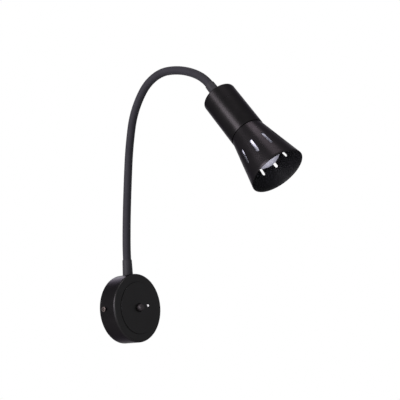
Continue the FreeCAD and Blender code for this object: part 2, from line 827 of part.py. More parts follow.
def make_lower_collar():
    skirt = turned("collar_skirt", [
        ("shank_bore / 2", "canopy_radius - collar_sink"),
        ("collar_foot / 2", "canopy_radius - collar_sink"),
        ("collar_foot / 2", "canopy_radius"),
        ("collar_mouth / 2", "collar_top"),
        ("collar_bore", "collar_top"),
        ("collar_bore", "collar_top - collar_socket"),
        ("shank_bore / 2", "collar_top - collar_socket"),
    ], rounds=[("collar_mouth / 2", "collar_top", "collar_lip")])
    drum = cylinder("drum_space", "canopy_radius", "canopy_diameter * 2", ("0", "-canopy_diameter", "0"),
                    ALONG_Y)
    shaped = cut("skirt_on_drum", skirt, [drum])
    shank = turned("collar_shank", [
        ("shank_bore / 2", "shank_end"),
        ("shank_radius", "shank_end"),
        ("shank_radius", "collar_top - collar_socket"),
        ("shank_bore / 2", "collar_top - collar_socket"),
    ])
    keep("lower_collar", fuse("collar_whole", [shaped, shank]), ON_ARM_FOOT)


def make_arm_fastening():
    corner = ("-saddle_width / 2", "saddle_bottom", "arm_offset - saddle_depth / 2")
    block = box("saddle_block", "saddle_width", "canopy_radius - saddle_bottom", "saddle_depth", corner)
    inside = cylinder("canopy_inside", "canopy_bore", "canopy_depth")
    hole = cylinder("saddle_hole", "shank_radius + hole_clearance", "canopy_radius",
                    ("0", "0", "arm_offset"), ALONG_Y)
    keep("saddle_washer", cut("saddle_drilled", common("saddle_shaped", block, inside), [hole]), ON_WALL)
    nut = document.addObject("Part::Prism", "arm_nut_blank")
    nut.Polygon = 6
    bind(nut, Circumradius="nut_across_flats / sqrt(3)", Height="nut_height")
    seat(nut, ("0", "0", "saddle_bottom - nut_height"))
    hole = cylinder("arm_nut_hole", "shank_radius + thread_clearance", "canopy_radius")
    keep("arm_nut", cut("arm_nut_drilled", nut, [hole]), ON_ARM_FOOT)


def half_ball(radius, centre, way):
    return Part.makeSphere(radius, centre, way, 0, 90, 360)


def straight_rod(radius, start, way, length):
    return Part.makeCylinder(radius, length, start, way)


def arm_layer(stretch, outer, inner, lead_in, lead_out):
    """One layer of a link: a tube, or a rod where inner is 0, between two radii.

    A lead, in millimetres, runs straight on from the link at the arm's foot or head. The link
    starts in a socket and ends in a ball where it has no lead.
    """
    arm_radius = value("arm_diameter") / 2
    start_way = heading_vector(stretch.heading)
    end_way = heading_vector(stretch.end_heading)
    foot = stretch.start - start_way * lead_in
    runs = [stretch.rod(outer)]
    bores = [stretch.rod(inner)] if inner else []
    if lead_in:
        runs.append(straight_rod(outer, foot, start_way, lead_in))
    if lead_out:
        runs.append(straight_rod(outer, stretch.end, end_way, lead_out))
    else:
        ball = half_ball(arm_radius, stretch.end, end_way)
        if outer < arm_radius:
            ball = ball.common(straight_rod(outer, stretch.end, end_way, arm_radius))
        runs.append(ball)
    if inner and lead_in:
        bores.append(straight_rod(inner, foot, start_way, lead_in))
    if inner:
        bores.append(straight_rod(inner, stretch.end, end_way, lead_out or arm_radius))
    layer = runs[0].fuse(runs[1:])
    if bores:
        layer = layer.cut(bores[0].fuse(bores[1:]))
    if not lead_in:
        layer = layer.cut(Part.makeSphere(arm_radius + value("ball_gap"), stretch.start))
    return layer.removeSplitter()


def shape_piece(name, shape):
    feature = document.addObject("Part::Feature", name + "_solid")
    feature.Shape = shape.Solids[0] if len(shape.Solids) == 1 else shape
    keep(name, feature, AT_REST)


def make_arm():
    outer = value("arm_diameter") / 2
    sleeve_bore = outer - value("sleeve_wall")
    socket = value("collar_socket")
    layers = {
        "sleeve": (outer, sleeve_bore, socket, socket),
        "core": (sleeve_bore - value("core_gap"), value("cable_bore") / 2, socket, socket),
        "cable": (value("cable_diameter") / 2, 0, value("collar_top - cable_start"),
                  value("head_length - holder_back")),
    }
    for number, stretch in enumerate(stretches):
        mark = "base" if number == 0 else "head" if number == LINKS + 1 else str(number)
        for layer, (outside, inside, foot, head) in layers.items():
            lead_in = foot if mark == "base" else 0
            lead_out = head if mark == "head" else 0
            shape_piece("arm_%s_%s" % (layer, mark), arm_layer(stretch, outside, inside, lead_in, lead_out))


# ---------------------------------------------------------------- head

def make_upper_collar():
    socket_floor = "head_length - collar_socket"
    collar = turned("upper_collar_body", [
        ("shank_bore / 2", "cup_back - head_shank_length"),
        ("shank_radius", "cup_back - head_shank_length"),
        ("shank_radius", "cup_back"),
        ("collar_foot / 2", "cup_back"),
        ("collar_mouth / 2", "head_length"),
        ("collar_bore", "head_length"),
        ("collar_bore", socket_floor),
        ("shank_bore / 2", socket_floor),
    ], rounds=[("collar_mouth / 2", "head_length", "collar_lip")])
    keep("upper_collar", collar, IN_HEAD)
    nut = document.addObject("Part::Prism", "cup_nut_blank")
    nut.Polygon = 6
    bind(nut, Circumradius="nut_across_flats / sqrt(3)", Height="head_nut_height")
    seat(nut, ("0", "0", "cup_back - cap_floor - head_nut_height"))
    hole = cylinder("cup_nut_hole", "shank_radius + thread_clearance", "head_length")
    keep("cup_nut", cut("cup_nut_drilled", nut, [hole]), IN_HEAD)


def make_cup():
    cup = turned("cup_tube", [
        ("cup_bore", "shade_length"),
        ("cup_radius", "shade_length"),
        ("cup_radius", "cap_front"),
        ("cup_bore", "cap_front"),
    ])
    keep("lamp_cup", cup, IN_HEAD)
    hole = "shank_radius + hole_clearance"
    lip = "cup_bore - thread_clearance"
    cap_inside = "cup_back - cap_floor"
    cap = turned("cup_cap_body", [
        (lip + " - cap_lip_wall", "cap_front - cap_lip"),
        (lip, "cap_front - cap_lip"),
        (lip, "cap_front"),
        ("cup_radius", "cap_front"),
        ("cup_radius", "cup_back"),
        (hole, "cup_back"),
        (hole, cap_inside),
        (lip + " - cap_lip_wall", cap_inside),
    ], rounds=[("cup_radius", "cup_back", "cap_edge")])
    keep("cup_cap", cap, IN_HEAD)


def make_shade():
    slope = "((shade_radius - shade_small) / shade_length)"
    across = "shade_wall * sqrt(1 + " + slope + " ^ 2)"
    neck_bore = "neck_radius - shade_wall"
    cone_end = "(shade_radius - " + across + " - (" + neck_bore + ")) / " + slope
    floor = "shade_neck_end - shade_wall"
    hole = "holder_thread / 2 + shade_hole_gap"
    body = turned("shade_body", [
        ("shade_radius - " + across, "0"),
        ("shade_radius", "0"),
        ("shade_small", "shade_length"),
        ("neck_radius", "shade_length"),
        ("neck_radius", "shade_neck_end"),
        (hole, "shade_neck_end"),
        (hole, floor),
        (neck_bore, floor),
        (neck_bore, cone_end),
    ])
    whole = body.Tip.Shape.Volume
    half = "slot_width / 2"
    low = "slot_start + slot_width / 2"
    high = "slot_start + slot_length - slot_width / 2"
    sketch = outline(body, "slot_outline", "XZ_Plane", [
        (half, low),
        (half, high, half),
        ("-" + half, high),
        ("-" + half, low, half),
    ])
    slot = body.newObject("PartDesign::Pocket", "slot")
    slot.Profile = sketch
    slot.Type = "Length"
    bind(slot, Length="shade_radius * 2")
    body.Tip = slot
    document.recompute()
    if slot.Shape.Volume > whole - 1:
        slot.Reversed = True
        document.recompute()
    if slot.Shape.Volume > whole - 1:
        raise ValueError("the shade's first slot cuts nothing")
    pattern = body.newObject("PartDesign::PolarPattern", "slot_ring")
    pattern.Originals = [slot]
    pattern.Axis = (origin_feature(body, "Z_Axis"), [""])
    pattern.Angle = 360
    bind(pattern, Occurrences="slot_count")
    body.Tip = pattern
    document.recompute()
    removed = (whole - pattern.Shape.Volume) / (whole - slot.Shape.Volume)
    if abs(removed - value("slot_count")) > 0.01:
        raise ValueError("the shade has %g slots" % removed)
    phase = Placement(Vector(), Rotation(Vector(0, 0, 1), value("slot_phase")))
    keep("shade", body, IN_HEAD * phase)


def make_lampholder():
    bore = "shell_radius + shell_gap"
    body = turned("holder_blank", [
        (bore, "holder_front"),
        ("holder_thread / 2", "holder_front"),
        ("holder_thread / 2", "shade_neck_end"),
        ("holder_shoulder / 2", "shade_neck_end"),
        ("holder_shoulder / 2", "holder_shoulder_back"),
        ("holder_body / 2", "holder_shoulder_back"),
        ("holder_body / 2", "holder_back"),
        ("0", "holder_back"),
        ("0", "contact_back"),
        (bore, "contact_back"),
    ])
    keep("lampholder", body, IN_HEAD)
    ring_back = "shade_neck_end - shade_wall"
    ring = turned("ring_body", [
        ("holder_thread / 2 + thread_clearance", ring_back + " - ring_height"),
        ("ring_diameter / 2", ring_back + " - ring_height"),
        ("ring_diameter / 2", ring_back),
        ("holder_thread / 2 + thread_clearance", ring_back),
    ])
    keep("shade_ring", ring, IN_HEAD)
    shell = turned("shell_body", [
        ("shell_radius - shell_wall", "holder_front + shell_inset"),
        ("shell_radius", "holder_front + shell_inset"),
        ("shell_radius", "lamp_cap_back"),
        ("shell_radius - shell_wall", "lamp_cap_back"),
    ])
    keep("holder_shell", shell, IN_HEAD)
    contact = turned("contact_body", [
        ("0", "lamp_tip"),
        ("contact_diameter / 2", "lamp_tip"),
        ("contact_diameter / 2", "contact_back"),
        ("0", "contact_back"),
    ])
    keep("centre_contact", contact, IN_HEAD)
    inside = "holder_body / 2 + thread_clearance"
    hole = "shank_radius + thread_clearance"
    bell = turned("bell_body", [
        (inside, "bell_front"),
        ("bell_radius", "bell_front"),
        ("bell_radius", "bell_back"),
        (hole, "bell_back"),
        (hole, "bell_back - bell_floor"),
        (inside, "bell_back - bell_floor"),
    ], rounds=[("bell_radius", "bell_back", "bell_wall")])
    keep("holder_bell", bell, IN_HEAD)


def make_lamp():
    globe = turned("globe_body", [
        ("0", "globe_front", "globe_radius"),
        ("globe_neck / 2", "neck_start"),
        ("neck_end / 2", "holder_front"),
        ("lamp_cap_diameter / 2 - thread_clearance", "lamp_cap_front"),
        ("0", "lamp_cap_front"),
    ])
    keep("bulb_globe", globe, IN_HEAD)
    cap = turned("lamp_cap_body", [
        ("0", "lamp_cap_front"),
        ("lamp_cap_diameter / 2", "lamp_cap_front"),
        ("lamp_cap_diameter / 2", "lamp_cap_back"),
        ("lamp_tip_diameter / 2", "lamp_tip"),
        ("0", "lamp_tip"),
    ])
    keep("bulb_cap", cap, IN_HEAD)


make_canopy()
make_front_disc()
make_bracket()
make_side_screws()
make_button()
make_switch()
make_pilot()
make_inlet()
make_terminals()
make_earth()
make_wires()
make_lower_collar()
make_arm_fastening()
make_arm()
make_upper_collar()
make_cup()
make_shade()
make_lampholder()
make_lamp()

document.recompute()

# ---------------------------------------------------------------- tests and files

for item in document.Objects:
    if "Invalid" in item.State or "Error" in item.State:
        raise ValueError("%s is not sound: %s" % (item.Label, item.State))
for label, piece in pieces.items():
    shape = piece.Shape
    if shape.isNull() or not shape.isValid() or not shape.Solids:
        raise ValueError("%s has no sound shape" % label)

os.makedirs("parts", exist_ok=True)
for label, piece in pieces.items():
    piece.Shape.exportStep("parts/%s.step" % label)
    print("%-20s %8.1f mm3 in %d solids" % (label, piece.Shape.Volume, len(piece.Shape.Solids)))

for number, stretch in enumerate(stretches):
    radius = stretch.length / math.radians(stretch.turn) if not stretch.straight() else 0
    print("arm stretch %d ends at y %.2f z %.2f heading %.2f, bend radius %.0f"
          % (number, stretch.end.y, stretch.end.z, stretch.end_heading, radius))
print("shade rim centre y %.2f z %.2f" % (head_start.y, head_start.z))
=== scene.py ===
import json
import math

import bmesh
import bpy
from mathutils import Matrix, Vector


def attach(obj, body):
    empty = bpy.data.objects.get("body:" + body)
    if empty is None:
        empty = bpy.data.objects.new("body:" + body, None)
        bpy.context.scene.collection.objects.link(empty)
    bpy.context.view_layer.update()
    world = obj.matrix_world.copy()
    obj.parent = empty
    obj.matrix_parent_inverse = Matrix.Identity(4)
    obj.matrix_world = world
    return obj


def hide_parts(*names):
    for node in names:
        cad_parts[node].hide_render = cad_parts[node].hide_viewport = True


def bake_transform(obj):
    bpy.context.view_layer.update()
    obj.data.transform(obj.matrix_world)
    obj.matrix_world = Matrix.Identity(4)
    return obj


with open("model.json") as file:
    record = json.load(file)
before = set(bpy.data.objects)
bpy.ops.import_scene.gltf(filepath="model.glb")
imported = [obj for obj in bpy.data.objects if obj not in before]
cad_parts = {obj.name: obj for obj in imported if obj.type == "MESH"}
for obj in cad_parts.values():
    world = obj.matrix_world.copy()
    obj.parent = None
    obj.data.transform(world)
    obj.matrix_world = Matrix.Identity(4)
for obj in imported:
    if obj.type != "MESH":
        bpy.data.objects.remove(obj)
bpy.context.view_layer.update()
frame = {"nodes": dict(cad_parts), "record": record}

# The scene is in metres; MM turns the object's millimetres into them.
MM = 0.001

# ---------------------------------------------------------------- the object's sizes, mm

# Corner radii, from a crisp edge to one that catches the light.
CRISP = 0.05
FINE = 0.1
THIN = 0.15
SMALL = 0.2
SEAM = 0.22
NARROW = 0.25
SOFT = 0.3

CANOPY_RADIUS = 41.0
CANOPY_DEPTH = 25.0
CANOPY_WALL = 1.5
CANOPY_EDGE = 3.0
DISC_RADIUS = 31.0
DISC_GAP = 0.15
DISC_BACK = 24.5
DISC_FRONT = 25.8
DISC_EDGE = 0.4
BUTTON_RADIUS = 4.9
BUTTON_GAP = 0.3
BUTTON_HOLE = BUTTON_RADIUS + BUTTON_GAP
BUTTON_FLANGE_RADIUS = 6.5
BUTTON_FOOT = 21.7
BUTTON_SHOULDER = 23.2
BUTTON_TOP = 31.8
BUTTON_FULLNESS = 2.6
SCREW_HOLE_RADIUS = 2.1
SCREW_HOLE_LENGTH = 100.0
SCREW_DEPTH = 7.0
ARM_HOLE_RADIUS = 4.7
ARM_HOLE_LENGTH = 8.0
PILOT_ACROSS = 15.5
PILOT_UP = 2.4
PILOT_HOLE_RADIUS = 1.45
PILOT_HOLE_LENGTH = 6.0

ARM_OFFSET = 9.53
ARM_RADIUS = 5.05
COLLAR_TOP = 59.4
COLLAR_FOOT = 6.3
COLLAR_MOUTH = 5.8
COLLAR_LIP = 0.6
COLLAR_BORE = ARM_RADIUS + 0.1
COLLAR_SOCKET = 14.2
SHANK_BORE = 2.2
SHANK_RADIUS = 4.5
SHANK_END = 104.0
LINK_LENGTH = 47.31
ARM_TURNS = (3.97, 2.31, 1.11, 6.58, 28.09, 57.01, 25.72, 21.5)

# Heights in the head are from the shade's rim back towards the arm.
HEAD_LENGTH = 143.2
CUP_RADIUS = 20.35
CUP_BORE = 19.65
CUP_BACK = 121.5
CAP_FRONT = 102.5
CAP_EDGE = 1.5
CAP_FLOOR = 1.0
CAP_LIP = 4.0
CAP_LIP_RADIUS = CUP_BORE - 0.05
CAP_LIP_BORE = CUP_BORE - 0.65
SHADE_LENGTH = 60.2
SHADE_RADIUS = 31.7
SHADE_SMALL = 19.6
SHADE_WALL = 0.8
SHADE_LIP = 0.3
SHADE_NECK = 19.55
SHADE_NECK_START = SHADE_LENGTH + 0.4
SHADE_NECK_END = 78.0
SHADE_FLOOR = 1.0
SHADE_HOLE = 14.2
SLOT_COUNT = 10
SLOT_WIDTH = 3.2
SLOT_LENGTH = 19.5
SLOT_START = 18.5
SLOT_PHASE = -4.5
GLOBE_INSET = 13.0
GLOBE_RADIUS = 22.5
GLOBE_NECK = 15.0
LAMP_NECK = 7.5
LAMP_NECK_EDGE = 1.0
LAMP_NECK_HEIGHT = 66.0
LAMP_CAP = 6.9
LAMP_CAP_HEIGHT = 69.0

# ---------------------------------------------------------------- frames of the object

TOTAL_TURN = sum(ARM_TURNS)


def heading_vector(heading):
    """The way the arm leads at a heading, in degrees from straight up towards the front."""
    angle = math.radians(heading)
    return Vector((0, -math.sin(angle), math.cos(angle)))


class Stretch:
    """One arc of the arm's centre line, in millimetres."""

    def __init__(self, start, heading, length, turn):
        self.start = start
        self.heading = heading
        self.length = length
        self.turn = turn
        self.end = self.point(length)
        self.end_heading = heading + turn

    def point(self, distance):
        radius = self.length / math.radians(self.turn)
        centre = self.start + heading_vector(self.heading + 90) * radius
        spin = Matrix.Rotation(math.radians(self.turn * distance / self.length), 3, "X")
        return centre + spin @ (self.start - centre)

    def heading_at(self, distance):
        return self.heading + self.turn * distance / self.length

    def samples(self, first, last, spacing, with_last):
        """Points and headings of the line from one distance to another."""
        steps = math.ceil((last - first) / spacing)
        for step in range(steps + 1 if with_last else steps):
            distance = first + (last - first) * step / steps
            yield self.point(distance), self.heading_at(distance)


def arm_stretches():
    """The arm's arcs from collar to collar; the first and the last are half a link long."""
    point = Vector((0, -ARM_OFFSET, COLLAR_TOP))
    heading = 0.0
    stretches = []
    for number, turn in enumerate(ARM_TURNS):
        share = 0.5 if number in (0, len(ARM_TURNS) - 1) else 1.0
        stretch = Stretch(point, heading, share * LINK_LENGTH, turn)
        stretches.append(stretch)
        point = stretch.end
        heading = stretch.end_heading
    return stretches


STRETCHES = arm_stretches()
LAST_JOINT = len(STRETCHES) - 1
RIM_CENTRE = STRETCHES[-1].end + heading_vector(TOTAL_TURN) * HEAD_LENGTH


def turned_frame(place, angle, axis):
    """A frame at a place in millimetres, turned by degrees about an axis."""
    return Matrix.Translation(Vector(place) * MM) @ Matrix.Rotation(math.radians(angle), 4, axis)


ON_WALL = turned_frame((0, 0, 0), 90, "X")
IN_HEAD = turned_frame(RIM_CENTRE, TOTAL_TURN + 180, "X")
AT_ARM_HOLE = turned_frame((0, -ARM_OFFSET, CANOPY_RADIUS), 0, "X")
AT_SIDE_SCREWS = turned_frame((0, -SCREW_DEPTH, 0), 90, "Y")
AT_PILOT = turned_frame((PILOT_ACROSS, -CANOPY_DEPTH, PILOT_UP), 90, "X")

# ---------------------------------------------------------------- materials


def node_tree(name):
    material = bpy.data.materials.new(name)
    material.use_nodes = True
    tree = material.node_tree
    return material, tree, tree.nodes["Principled BSDF"]


def object_place(tree):
    return tree.nodes.new("ShaderNodeTexCoord").outputs["Object"]


def noise(tree, coordinates, scale, detail=3.0, roughness=0.5):
    node = tree.nodes.new("ShaderNodeTexNoise")
    node.inputs["Scale"].default_value = scale
    node.inputs["Detail"].default_value = detail
    node.inputs["Roughness"].default_value = roughness
    tree.links.new(coordinates, node.inputs["Vector"])
    return node.outputs["Fac"]


def ramp(tree, factor, low, high, colors):
    node = tree.nodes.new("ShaderNodeValToRGB")
    for element, position, color in zip(node.color_ramp.elements, (low, high), colors):
        element.position = position
        element.color = (*color, 1)
    tree.links.new(factor, node.inputs["Fac"])
    return node.outputs["Color"]


def spread(tree, factor, span):
    """The middle of a noise, 0.3 to 0.7, spread over a span of values."""
    node = tree.nodes.new("ShaderNodeMapRange")
    node.inputs["From Min"].default_value = 0.3
    node.inputs["From Max"].default_value = 0.7
    node.inputs["To Min"].default_value = span[0]
    node.inputs["To Max"].default_value = span[1]
    tree.links.new(factor, node.inputs["Value"])
    return node.outputs["Result"]


def bump(tree, shader, height, strength, distance):
    node = tree.nodes.new("ShaderNodeBump")
    node.inputs["Strength"].default_value = strength
    node.inputs["Distance"].default_value = distance
    tree.links.new(height, node.inputs["Height"])
    tree.links.new(node.outputs["Normal"], shader.inputs["Normal"])


def surface(name, colors, rough, grain, peel, specular=0.3, tint=35.0, edge=None, glow=0.0):
    """A material whose colour and roughness drift softly between two values.

    grain is the scale of its fine bump and peel the bump's strength and distance. A lacquer
    with an edge colour is shaded as a metal, so that it stays dark where it turns away."""
    material, tree, shader = node_tree(name)
    place = object_place(tree)
    drift = noise(tree, place, tint, detail=4.0, roughness=0.6)
    tree.links.new(ramp(tree, drift, 0.3, 0.7, colors), shader.inputs["Base Color"])
    patch = noise(tree, place, tint * 4)
    tree.links.new(spread(tree, patch, rough), shader.inputs["Roughness"])
    shader.inputs["Specular IOR Level"].default_value = specular
    shader.inputs["Emission Strength"].default_value = glow
    if edge:
        shader.inputs["Metallic"].default_value = 1.0
        shader.inputs["Specular Tint"].default_value = (*edge, 1)
    bump(tree, shader, noise(tree, place, grain, detail=2.0), *peel)
    return material


def brushed(name, colors, rough, direction):
    """Metal with fine lines left by its making, stretched along a direction."""
    material, tree, shader = node_tree(name)
    stretch = tree.nodes.new("ShaderNodeMapping")
    stretch.inputs["Scale"].default_value = direction
    tree.links.new(object_place(tree), stretch.inputs["Vector"])
    lines = noise(tree, stretch.outputs["Vector"], 1.0, detail=4.0, roughness=0.7)
    tree.links.new(ramp(tree, lines, 0.35, 0.65, colors), shader.inputs["Base Color"])
    tree.links.new(spread(tree, lines, rough), shader.inputs["Roughness"])
    shader.inputs["Metallic"].default_value = 1.0
    bump(tree, shader, lines, strength=0.15, distance=0.0001)
    return material


def striped(name, ground, stripe, direction):
    """Insulation in one colour with a stripe of another along it."""
    material, tree, shader = node_tree(name)
    place = object_place(tree)
    wave = tree.nodes.new("ShaderNodeTexWave")
    wave.inputs["Scale"].default_value = 160
    wave.bands_direction = direction
    tree.links.new(place, wave.inputs["Vector"])
    bands = ramp(tree, wave.outputs["Fac"], 0.48, 0.52, (ground, stripe))
    tree.links.new(bands, shader.inputs["Base Color"])
    shader.inputs["Roughness"].default_value = 0.45
    bump(tree, shader, noise(tree, place, 900, detail=2.0), strength=0.1, distance=0.0001)
    return material


LACQUER_EDGE = (0.52, 0.51, 0.53)
LACQUER_PEEL = (0.02, 0.00003)
MOULDED_PEEL = (0.25, 0.00006)
WIRE_ROUGH = (0.40, 0.50)
WIRE_PEEL = (0.08, 0.00005)

SATIN = surface("satin_black", ((0.0098, 0.0092, 0.0098), (0.0122, 0.0115, 0.0122)),
                rough=(0.29, 0.33), grain=1400, peel=LACQUER_PEEL, edge=LACQUER_EDGE)
# A lighter, rougher copy of the satin lacquer for the canopy's front and the disc: the lighter
# colour is painted light, a front lit more than the drum's sides.
LIT_FACE = surface("face_black_lit", ((0.0158, 0.0156, 0.0160), (0.0178, 0.0175, 0.0180)),
               rough=(0.34, 0.40), grain=1400, peel=LACQUER_PEEL, edge=LACQUER_EDGE)
SHADE_OUT = surface("shade_black", ((0.0115, 0.0105, 0.0115), (0.0145, 0.0134, 0.0145)),
                    rough=(0.31, 0.35), grain=1200, peel=LACQUER_PEEL, edge=LACQUER_EDGE)
SHADE_IN = surface("shade_inside", ((0.0045, 0.0045, 0.0055), (0.0070, 0.0070, 0.0085)),
                   rough=(0.38, 0.44), grain=1500, peel=(0.015, 0.00003), specular=0.20)
SLEEVE = surface("sleeve_rubber", ((0.0108, 0.0105, 0.0135), (0.0150, 0.0145, 0.0182)),
                 rough=(0.64, 0.74), grain=2200, peel=(0.30, 0.00008), specular=0.10, tint=60)
COLLAR = surface("collar_black", ((0.0120, 0.0118, 0.0140), (0.0165, 0.0160, 0.0185)),
                 rough=(0.50, 0.60), grain=1500, peel=(0.12, 0.00005), specular=0.10)
BUTTON = surface("button_black", ((0.0300, 0.0275, 0.0290), (0.0360, 0.0325, 0.0345)),
                 rough=(0.44, 0.50), grain=1200, peel=LACQUER_PEEL, edge=LACQUER_EDGE)
# The pilot lens glows faintly, painted light that makes the small lens read white.
GLOWING_LENS = surface("lens_white_glowing", ((0.90, 0.90, 0.90), (0.95, 0.95, 0.95)),
               rough=(0.20, 0.26), grain=900, peel=(0.04, 0.00004), specular=0.5, glow=0.2)
OPAL = surface("opal_globe", ((0.52, 0.53, 0.63), (0.60, 0.61, 0.71)),
               rough=(0.32, 0.40), grain=1800, peel=(0.05, 0.00003), specular=0.4)
MOULDED = surface("moulded_black", ((0.012, 0.012, 0.012), (0.022, 0.022, 0.022)),
                  rough=(0.45, 0.55), grain=1800, peel=MOULDED_PEEL)
WHITE_BLOCK = surface("terminal_white", ((0.62, 0.61, 0.57), (0.72, 0.71, 0.68)),
                      rough=(0.40, 0.50), grain=1500, peel=(0.15, 0.00006))
PVC = surface("sheath_white", ((0.60, 0.60, 0.58), (0.70, 0.70, 0.67)),
              rough=(0.45, 0.55), grain=1500, peel=(0.12, 0.00006))
GROMMET = surface("grommet_rubber", ((0.014, 0.014, 0.014), (0.024, 0.024, 0.024)),
                  rough=(0.60, 0.72), grain=1800, peel=(0.25, 0.00008))
BROWN = surface("wire_brown", ((0.10, 0.045, 0.02), (0.15, 0.07, 0.03)),
                rough=WIRE_ROUGH, grain=1200, peel=WIRE_PEEL)
BLUE = surface("wire_blue", ((0.02, 0.08, 0.32), (0.03, 0.12, 0.42)),
               rough=WIRE_ROUGH, grain=1200, peel=WIRE_PEEL)
GREEN = striped("wire_green", ground=(0.12, 0.35, 0.03), stripe=(0.75, 0.65, 0.05), direction="X")
CLEAR = surface("led_clear", ((0.70, 0.70, 0.66), (0.80, 0.80, 0.74)),
                rough=(0.10, 0.14), grain=900, peel=(0.03, 0.00003))
ZINC = brushed("zinc_plate", ((0.42, 0.43, 0.45), (0.60, 0.61, 0.63)),
               rough=(0.30, 0.42), direction=(140, 900, 900))
SCREW = brushed("screw_steel", ((0.058, 0.047, 0.045), (0.090, 0.074, 0.071)),
                rough=(0.26, 0.36), direction=(300, 1600, 1600))
STEEL = brushed("core_steel", ((0.32, 0.32, 0.33), (0.46, 0.46, 0.47)),
                rough=(0.35, 0.48), direction=(900, 900, 900))
BRASS = brushed("contact_brass", ((0.50, 0.36, 0.14), (0.68, 0.50, 0.22)),
                rough=(0.28, 0.40), direction=(700, 700, 200))
NICKEL = brushed("cap_nickel", ((0.48, 0.47, 0.45), (0.62, 0.61, 0.58)),
                 rough=(0.22, 0.32), direction=(500, 500, 500))

CAD_MATERIALS = {
    "satin_black": SATIN, "shade_black": SHADE_OUT, "collar_black": COLLAR,
    "arm_rubber": SLEEVE, "core_steel": STEEL, "cable_pvc": PVC, "screw_steel": SCREW,
    "button_black": BUTTON, "pilot_white": GLOWING_LENS, "moulded_black": MOULDED,
    "terminal_white": WHITE_BLOCK, "contact_brass": BRASS, "zinc_steel": ZINC,
    "grommet_rubber": GROMMET, "wire_brown": BROWN, "wire_blue": BLUE, "wire_green": GREEN,
    "led_clear": CLEAR, "bulb_opal": OPAL, "cap_nickel": NICKEL,
}

for entry in frame["record"]["subparts"]:
    node = frame["nodes"][entry["node"]]
    node.data.materials.clear()
    node.data.materials.append(CAD_MATERIALS[entry["material_slot"]])

# ---------------------------------------------------------------- mesh helpers

SEGMENTS = 144
COARSE_SEGMENTS = 72
DRILL_SEGMENTS = 64
ROUND_STEPS = 5
SUPPORT = 0.25
LONGEST_RUN = 5.0
ON_AXIS = 1e-9
SAME_POINT = 1e-7
SAME_EDGE = 2e-6


def rounded(profile, closed):
    """The points of a profile of (radius, height, corner radius), with its corners as arcs."""
    corners = [Vector(point[:2]) for point in profile]
    count = len(corners)
    points = []
    for index, corner in enumerate(corners):
        size = profile[index][2] if len(profile[index]) > 2 else 0
        if size == 0 or (not closed and index in (0, count - 1)):
            points.append(corner)
            continue
        before = (corners[index - 1] - corner).normalized()
        after = (corners[(index + 1) % count] - corner).normalized()
        opening = before.angle(after)
        reach = size / math.tan(opening / 2)
        centre = corner + (before + after).normalized() * (size / math.sin(opening / 2))
        first = corner + before * reach - centre
        last = corner + after * reach - centre
        sweep = first.angle_signed(last)
        for step in range(ROUND_STEPS + 1):
            turn = Matrix.Rotation(-sweep * step / ROUND_STEPS, 2)
            points.append(centre + turn @ first)
    return supported(points, closed)


def supported(points, closed):
    """The points with more along each long run, which keep its flat shaded flat."""
    result = []
    count = len(points)
    for index in range(count if closed else count - 1):
        first = points[index]
        run = points[(index + 1) % count] - first
        result.append(first)
        if run.length < 4 * SUPPORT:
            continue
        way = run.normalized()
        inner = run.length - 2 * SUPPORT
        steps = max(1, math.ceil(inner / LONGEST_RUN))
        for step in range(steps + 1):
            result.append(first + way * (SUPPORT + inner * step / steps))
    if not closed:
        result.append(points[-1])
    return result


def bridge(build, lower, upper, index=0):
    """Faces between two loops of as many vertices each."""
    for step in range(len(lower)):
        following = (step + 1) % len(lower)
        face = build.faces.new((lower[step], lower[following], upper[following], upper[step]))
        face.material_index = index


def bridge_all(build, loops, index=0):
    for lower, upper in zip(loops, loops[1:]):
        bridge(build, lower, upper, index)


def new_piece(name, build, materials, body, replaced):
    """Make a mesh object that stands for CAD nodes and rides on a body, where it has one."""
    mesh = bpy.data.meshes.new(name)
    bmesh.ops.remove_doubles(build, verts=build.verts, dist=SAME_POINT)
    bmesh.ops.recalc_face_normals(build, faces=build.faces)
    build.to_mesh(mesh)
    build.free()
    mesh.shade_smooth()
    for material in materials:
        mesh.materials.append(material)
    piece = bpy.data.objects.new(name, mesh)
    bpy.context.scene.collection.objects.link(piece)
    if body:
        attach(piece, body)
    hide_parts(*replaced)
    return piece


def lathe(build, matrix, profile, closed, segments):
    """Turn a profile about the z axis of a frame into faces of a bmesh."""
    rings = []
    for point in rounded(profile, closed):
        radius, height = point.x * MM, point.y * MM
        if radius < ON_AXIS:
            rings.append([build.verts.new(matrix @ Vector((0, 0, height)))])
            continue
        ring = []
        for step in range(segments):
            angle = 2 * math.pi * step / segments
            place = Vector((radius * math.cos(angle), radius * math.sin(angle), height))
            ring.append(build.verts.new(matrix @ place))
        rings.append(ring)
    pairs = list(zip(rings, rings[1:]))
    if closed:
        pairs.append((rings[-1], rings[0]))
    for lower, upper in pairs:
        for step in range(segments):
            following = (step + 1) % segments
            corners = [lower[step % len(lower)], lower[following % len(lower)],
                       upper[following % len(upper)], upper[step % len(upper)]]
            corners = list(dict.fromkeys(corners))
            if len(corners) > 2:
                build.faces.new(corners)


def turned(name, matrix, profile, material, body, replaced, closed=True, segments=SEGMENTS):
    """A piece turned about the z axis of a frame from a profile in millimetres."""
    build = bmesh.new()
    lathe(build, matrix, profile, closed, segments)
    return new_piece(name, build, [material], body, [replaced])


